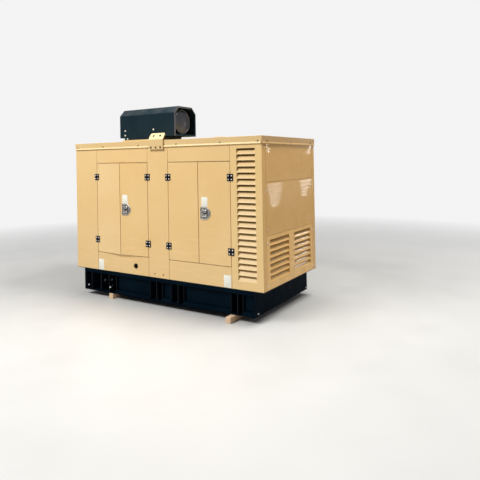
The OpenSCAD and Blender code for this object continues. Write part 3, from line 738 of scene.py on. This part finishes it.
def buildBayFittings():
    studs, discs = bmesh.new(), bmesh.new()
    for way in (1, -1):
        for x, y, z, r in bayFittings["studs"]:
            at = faceFrame((x, way * y, z), right)
            turned(studs, at, [(r * 1.3, 0), (r * 1.3, 0.0016), (r, 0.0022)])
            turned(studs, at, [(r, 0.0016), (r, 0.0075), (r * 0.86, 0.0092), (r * 0.2, 0.0094)], 6)
        for x, y, z, r in bayFittings["discs"]:
            turned(discs, faceFrame((x, way * y, z), right),
                   [(r, 0), (r, 0.003), (r * 0.9, 0.005), (r * 0.55, 0.005), (r * 0.5, 0.002),
                    (0.001, 0.002)], 24)
    finishPiece("bay_studs", studs, "brightZinc", "enclosure")
    finishPiece("bay_discs", discs, "ringSteel", "enclosure")


buildMouthHighlight()
buildSeamRing()
buildHoleShades()
buildBayFittings()
print("bolts, mouth highlight, seam ring, shades and bay fittings built")

# four screws a hinge: two on the leaf, two on the frame
hinge = {"low": 0.150, "high": 0.881, "across": 0.0188, "up": 0.0180, "screw": 0.0068, "plateFace": 0.005}


def buildHingeScrews():
    frameScrews, backScrews = bmesh.new(), bmesh.new()
    across, face = hinge["across"], hinge["plateFace"]
    heights = [middle + up for middle in (hinge["low"], hinge["high"]) for up in (-hinge["up"], hinge["up"])]
    for number, leaf in leaves.items():
        screws = bmesh.new()
        for height in heights:
            onFrame = leafFrame(number, -across, height, face, True)
            onDoor = leafFrame(number, across, height, face, True)
            addScrew(screws, leafFrame(number, across, height, face), hinge["screw"])
            addScrew(frameScrews, onFrame, hinge["screw"])
            addScrew(backScrews, onBack(onFrame), hinge["screw"])
            addScrew(backScrews, onBack(onDoor), hinge["screw"])
        finishPiece(f"hinge_screws_{number}", screws, "brightZinc", leaf["body"])
    finishPiece("hinge_screws_frame", frameScrews, "brightZinc", "enclosure")
    finishPiece("hinge_screws_back", backScrews, "brightZinc", "enclosure")


buildHingeScrews()

# paddle latch: pressed tray with a blunt nose, a recess in a darker finish as painted shade, a paddle across
# it with a black sheet as painted shade for its finger slot, and a key barrel
latch = {"width": 0.126, "height": 0.130, "inset": 0.088, "middle": 0.517, "rim": 0.009, "rimHeight": 0.0080,
         "nose": 0.38, "floor": 0.0016, "trayRound": 0.009, "recessRound": 0.006,
         "recessInset": 0.008, "paddleRound": 0.011,
         "paddleWidth": 0.56, "paddleHeight": 0.58, "paddleShift": -0.016, "paddleTop": 0.0160,
         "paddleArch": 0.0050, "paddleDrop": 0.0035, "barrel": 0.0090, "barrelPlace": (0.041, 0.006),
         "slot": (0.042, 0.012, 0.001)}
latchReach = plan["leafWidth"] + plan["axisIn"] - latch["inset"]
paddleWidth = latch["width"] * latch["paddleWidth"]
paddleHeight = latch["height"] * latch["paddleHeight"]


def latchOutline(smaller, radius):
    width, height = latch["width"] - smaller * 2, latch["height"] - smaller * 2
    nose = width * latch["nose"]
    corners = [(-width / 2, -height / 2), (width / 2 - nose, -height / 2), (width / 2, -height / 6),
               (width / 2, height / 6), (width / 2 - nose, height / 2), (-width / 2, height / 2)]
    return roundedOutline(corners, radius, 5)


def addLatchTray(bm, at):
    top, rim = latch["rimHeight"], latch["rim"]
    loft(bm, at, layers(latchOutline(0, latch["trayRound"]), [
        (0, 0), (0, top * 0.6), (0.0010, top * 0.88), (0.0028, top), (rim - 0.003, top),
        (rim - 0.001, top * 0.86), (rim, top * 0.5), (rim + 0.001, latch["floor"])]),
        capEnd=False, smooth=True)


def paddleTop(under):
    # the paddle is arched across, and its free end towards the nose stands clear of the recess
    return lambda x, y: (latch["paddleTop"] - under - latch["paddleArch"] * (2 * y / paddleHeight) ** 2
                         - latch["paddleDrop"] * (0.5 - (x - latch["paddleShift"]) / paddleWidth))


def addLatchPaddle(bm, at):
    shift, low = latch["paddleShift"], latch["floor"]
    corners = [(x + shift, y) for x, y in block(paddleWidth, paddleHeight)]
    loft(bm, at, layers(roundedOutline(corners, latch["paddleRound"], 6), [
        (0.004, low), (0, paddleTop(0.0035)), (0.0006, paddleTop(0.0012)), (0.0022, paddleTop(0.0)),
        (0.0100, paddleTop(0.0)), (0.0200, paddleTop(-0.0004))]), smooth=True)
    # pivot lugs above and below the paddle
    for way in (-1, 1):
        spot = (shift - paddleWidth * 0.22, way * (paddleHeight / 2 + 0.0055), low)
        turned(bm, at @ Matrix.Translation(spot),
               [(0.0050, 0), (0.0050, 0.0065), (0.0040, 0.0080), (0.0015, 0.0083)], 16)


def addLatchBarrel(bm, at):
    r = latch["barrel"]
    turned(bm, at @ Matrix.Translation((*latch["barrelPlace"], latch["floor"])),
           [(r, 0), (r, 0.0075), (r * 0.88, 0.0090), (r * 0.66, 0.0090), (r * 0.62, 0.0075),
            (r * 0.30, 0.0072), (r * 0.28, 0.0040), (0.0004, 0.0040)], 24)


def addLatchRecess(bm, at):
    # a dished floor, lowest in the middle
    loft(bm, at, layers(latchOutline(latch["recessInset"], latch["recessRound"]), [
        (0, 0.0026), (0.002, 0.0020), (0.006, 0.0016), (0.014, 0.0012), (0.024, 0.0011)]))


def addLatchSlotShade(bm, at):
    # a black sheet across the paddle as painted shade for its finger slot, narrower towards the free edge of
    # the door
    length, height, middle = latch["slot"]
    left, end = middle - length / 2, middle + length / 2
    corners = [(left, -height / 4), (end, -height / 2), (end, height / 2), (left, height / 4)]
    loft(bm, at, layers(roundedOutline(corners, height * 0.24, 4), [
        (0, paddleTop(0.0010)), (0, paddleTop(-0.0006)), (0.0008, paddleTop(-0.0009)),
        (0.0016, paddleTop(-0.0005))]))


latchParts = {"paddle_latch": (addLatchTray, addLatchPaddle, addLatchBarrel),
              "latch_recess": (addLatchRecess,), "latch_slot_shade": (addLatchSlotShade,)}
# the recess's darker finish and the slot's black sheet are painted shade
latchFinish = {"paddle_latch": "latchChrome", "latch_recess": "latchRecess", "latch_slot_shade": "sealRubber"}


def latchPiece(part, ending, body, places):
    bm = bmesh.new()
    for at in places:
        for add in latchParts[part]:
            add(bm, at)
    return finishPiece(f"{part}_{ending}", bm, latchFinish[part], body)


def buildLatches():
    for part in latchParts:
        pieces = {}
        for number, ending in ((2, "left"), (4, "right")):
            pieces[f"latch_{ending}"] = latchPiece(
                part, ending, leaves[number]["body"], [leafFrame(number, latchReach, latch["middle"])])
        pieces["latches_back"] = latchPiece(part, "back", "enclosure", [
            onBack(leafFrame(number, latchReach, latch["middle"], shut=True)) for number in (2, 4)])
        if part == "paddle_latch":
            for node, piece in pieces.items():
                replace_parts(piece, node)


buildLatches()

# blank plates where the doors and sills carry labels
label = {"door": (0.076, 0.098), "doorUp": 0.632, "shift": {2: 0.020, 4: 0.012}, "sill": (0.085, 0.122),
         "sillPlaces": ((-0.882, 0.384), (0.882, 0.384)), "thick": 0.0008, "round": 0.004}


def addPlate(bm, at, width, height):
    outline = roundedOutline(block(width, height), label["round"], 4)
    thick = label["thick"]
    loft(bm, at, layers(outline, [(0, -0.0002), (0, thick * 0.6), (0.0004, thick)]))


def buildLabels():
    backPlates, sillPlates = bmesh.new(), bmesh.new()
    for number, shift in label["shift"].items():
        spot = (number, latchReach + shift, label["doorUp"])
        bm = bmesh.new()
        addPlate(bm, leafFrame(*spot), *label["door"])
        finishPiece(f"blank_plate_{number}", bm, "blankLabel", leaves[number]["body"])
        addPlate(backPlates, onBack(leafFrame(*spot, shut=True)), *label["door"])
    for x, z in label["sillPlaces"]:
        at = faceFrame((x, plan["wallFront"], z), front)
        addPlate(sillPlates, at, *label["sill"])
        addPlate(sillPlates, onBack(at), *label["sill"])
    finishPiece("blank_plates_back", backPlates, "blankLabel", "enclosure")
    finishPiece("blank_plates_sill", sillPlates, "blankLabel", "enclosure")


buildLabels()
print("hinge screws, latches and blank plates built")

# rubber seal on the stop strips that the doors close against
seal = {"radius": 0.0032, "inward": 0.010, "face": 0.0253, "round": 0.012}


def buildSeals():
    bm = bmesh.new()
    inward = seal["inward"]
    width = plan["pairWidth"] - 2 * inward
    height = plan["doorHead"] - plan["doorFoot"] - 2 * inward
    loop = roundedOutline(block(width, height), seal["round"], 5)
    middle = (plan["doorHead"] + plan["doorFoot"]) / 2
    for pair in (-1, 1):
        for way in (-1, 1):
            y = way * (-plan["wallFront"] - seal["face"])
            addPipe(bm, [(pair * plan["pairMiddle"] + x, y, middle + z) for x, z in loop],
                    seal["radius"], (0, 1, 0), 8)
    finishPiece("door_seals", bm, "sealRubber", "enclosure")


buildSeals()

# cable plug: a moulded rim with a domed cap in it
plug = {"place": (-0.334, 0.417), "radius": 0.027, "rim": 0.006, "out": 0.0085}


def buildPlug():
    bm = bmesh.new()
    x, z = plug["place"]
    at = faceFrame((x, plan["wallFront"], z), front)
    r, out, rim = plug["radius"], plug["out"], plug["rim"]
    turned(bm, at, [(r, 0), (r, out * 0.45), (r - rim * 0.15, out * 0.75), (r - rim * 0.5, out),
                    (r - rim, out * 0.85), (r - rim * 1.3, out * 0.45), (r - rim * 1.6, out * 0.35),
                    (r * 0.45, out * 0.55), (r * 0.2, out * 0.62), (0.0005, out * 0.64)], 32)
    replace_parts(finishPiece("moulded_plug", bm, "plugRubber", "enclosure"), "cable_plug")


buildPlug()
print("seals and plug built")

# pale floor that runs out into the background
ground = {"size": 60.0, "color": (0.62, 0.62, 0.61, 1), "darker": 0.95, "rough": (0.42, 0.60),
          "background": (0.90, 0.90, 0.90, 1), "clear": 2.6, "gone": 8.5}
sky = {"color": (0.96, 0.98, 1.0, 1), "strength": 0.155}


def showEither(tree, amount, a, b, output):
    mix = addNode(tree, "MixShader", {"Fac": amount, 1: a, 2: b})
    tree.links.new(mix.outputs["Shader"], tree.nodes[output].inputs["Surface"])


def buildFloor():
    bm = bmesh.new()
    bmesh.ops.create_circle(bm, cap_ends=True, radius=ground["size"], segments=96)
    mesh = bpy.data.meshes.new("studio_floor")
    bm.to_mesh(mesh)
    bm.free()
    floor = bpy.data.objects.new("studio_floor", mesh)
    bpy.context.scene.collection.objects.link(floor)
    material, tree, shader = newMaterial("studioFloor")
    dull = (*(c * ground["darker"] for c in ground["color"][:3]), 1)
    cloud = spread(tree, noise(tree, 0.9, 4.0), *noiseBand)
    fill(tree, shader, {"Base Color": mixColor(tree, cloud, ground["color"], dull),
                        "Roughness": spread(tree, noise(tree, 2.5, 4.0), *noiseBand, *ground["rough"])})
    glow = addNode(tree, "Emission", {"Color": ground["background"]})
    seen = addNode(tree, "LightPath").outputs["Is Camera Ray"]
    far = spread(tree, measure(tree, "LENGTH", objectPoint(tree)), ground["clear"], ground["gone"])
    showEither(tree, calc(tree, "MULTIPLY", far, seen), shader.outputs["BSDF"], glow.outputs["Emission"],
               "Material Output")
    mesh.materials.append(material)


def buildWorld():
    world = bpy.data.worlds.new("studio")
    bpy.context.scene.world = world
    world.use_nodes = True
    tree = world.node_tree
    light = tree.nodes["Background"]
    fill(tree, light, {"Color": sky["color"], "Strength": sky["strength"]})
    plain = addNode(tree, "Background", {"Color": ground["background"], "Strength": 1.0})
    path = addNode(tree, "LightPath").outputs
    seen = calc(tree, "ADD", path["Is Camera Ray"], path["Is Transmission Ray"], True)
    showEither(tree, seen, light.outputs["Background"], plain.outputs["Background"], "World Output")


# soft boxes: place, what they point at, width and height, power in watts
warm = (1, 0.97, 0.92)
lamps = {
    "key": {"at": (-1.6, -5.4, 6.2), "aim": (0, -0.6, 1.1), "size": (4.2, 2.4), "power": 525,
            "color": (1.0, 0.985, 0.965)},
    "overhead": {"at": (0.3, 0.6, 6.4), "aim": (0, 0, 0), "size": (6.0, 4.0), "power": 200,
                 "color": (1, 1, 1)},
    "endTop": {"at": (3.0, 0.4, 6.4), "aim": (1.29, 0, 0.9), "size": (2.2, 2.2), "power": 290, "color": warm},
    "endFill": {"at": (6.8, 1.2, 2.6), "aim": (1.29, 0, 0.9), "size": (2.0, 2.0), "power": 15, "color": warm},
}
# narrow strips behind the right end, which its gloss paint mirrors: both ends (x, z) of each at glintY,
# the place they point at, their width, and their glow in watts per square metre
glints = {
    "near": {"aim": (1.29, -0.36, 1.24), "thick": 0.028, "glow": 60, "strips": [
        (4.051, 1.020, 3.755, 1.071), (4.038, 0.946, 3.750, 1.001), (4.020, 0.873, 3.751, 0.927),
        (4.007, 0.800, 3.762, 0.848), (3.994, 0.727, 3.778, 0.772), (3.978, 0.659, 3.803, 0.698),
        (3.963, 0.596, 3.830, 0.627)]},
    "far": {"aim": (1.29, 0.38, 1.24), "thick": 0.048, "glow": 34, "strips": [
        (3.278, 1.112, 3.055, 1.158), (3.275, 1.039, 3.087, 1.083), (3.269, 0.970, 3.111, 1.009),
        (3.264, 0.900, 3.139, 0.932), (3.257, 0.834, 3.162, 0.859)]},
    "corner": {"aim": (1.29, 0.0, 1.67), "thick": 0.018, "glow": 104, "strips": [
        (4.078, 1.906, 4.016, 1.745), (3.051, 1.857, 3.120, 1.675)]},
    "blades": {"aim": (1.29, 0.35, 0.8), "thick": 0.12, "glow": 80, "strips": [
        (2.710, 1.900, 3.025, 2.215)]},
}
glintY = 4.6


def addLamp(name, shape, power, at, color=(1, 1, 1)):
    data = bpy.data.lights.new(name, "AREA")
    data.shape = "RECTANGLE"
    data.size, data.size_y = shape
    data.energy = power
    data.color = color
    lamp = bpy.data.objects.new(name, data)
    bpy.context.scene.collection.objects.link(lamp)
    lamp.location = at
    lamp.visible_camera = False
    return lamp


def buildLamps():
    for name, look in lamps.items():
        lamp = addLamp(name, look["size"], look["power"], look["at"], look["color"])
        aim = Vector(look["aim"]) - Vector(look["at"])
        lamp.rotation_euler = aim.to_track_quat("-Z", "Y").to_euler()
    for name, look in glints.items():
        for number, (x0, z0, x1, z1) in enumerate(look["strips"]):
            start, end = Vector((x0, glintY, z0)), Vector((x1, glintY, z1))
            middle, length = (start + end) / 2, (end - start).length
            lamp = addLamp(f"glint_{name}_{number}", (length, look["thick"]),
                           look["glow"] * length * look["thick"], middle)
            back = (middle - Vector(look["aim"])).normalized()
            up = back.cross(end - start).normalized()
            lamp.rotation_euler = axesMatrix(up.cross(back), up, back, middle).to_euler()


# the photograph's camera: level, turned to the left of +Y and leaning about one degree
shot = {"at": (3.54004, -4.66278, 1.570), "turn": math.radians(31.629), "roll": math.radians(0.986),
        "lens": 36.81, "shift": -0.1652}


def buildCamera():
    data = bpy.data.cameras.new("photoCamera")
    data.sensor_width = 36
    data.lens = shot["lens"]
    data.shift_y = shot["shift"]
    camera = bpy.data.objects.new("photoCamera", data)
    bpy.context.scene.collection.objects.link(camera)
    turn, roll = shot["turn"], shot["roll"]
    behind = Vector((math.sin(turn), -math.cos(turn), 0))
    side, up = Vector((math.cos(turn), math.sin(turn), 0)), Vector((0, 0, 1))
    leanSide = side * math.cos(roll) - up * math.sin(roll)
    leanUp = side * math.sin(roll) + up * math.cos(roll)
    camera.matrix_world = axesMatrix(leanSide, leanUp, behind, shot["at"])
    bpy.context.scene.camera = camera


buildFloor()
buildWorld()
buildLamps()
buildCamera()
bpy.context.scene.view_settings.view_transform = "Standard"
print("studio and camera ready")
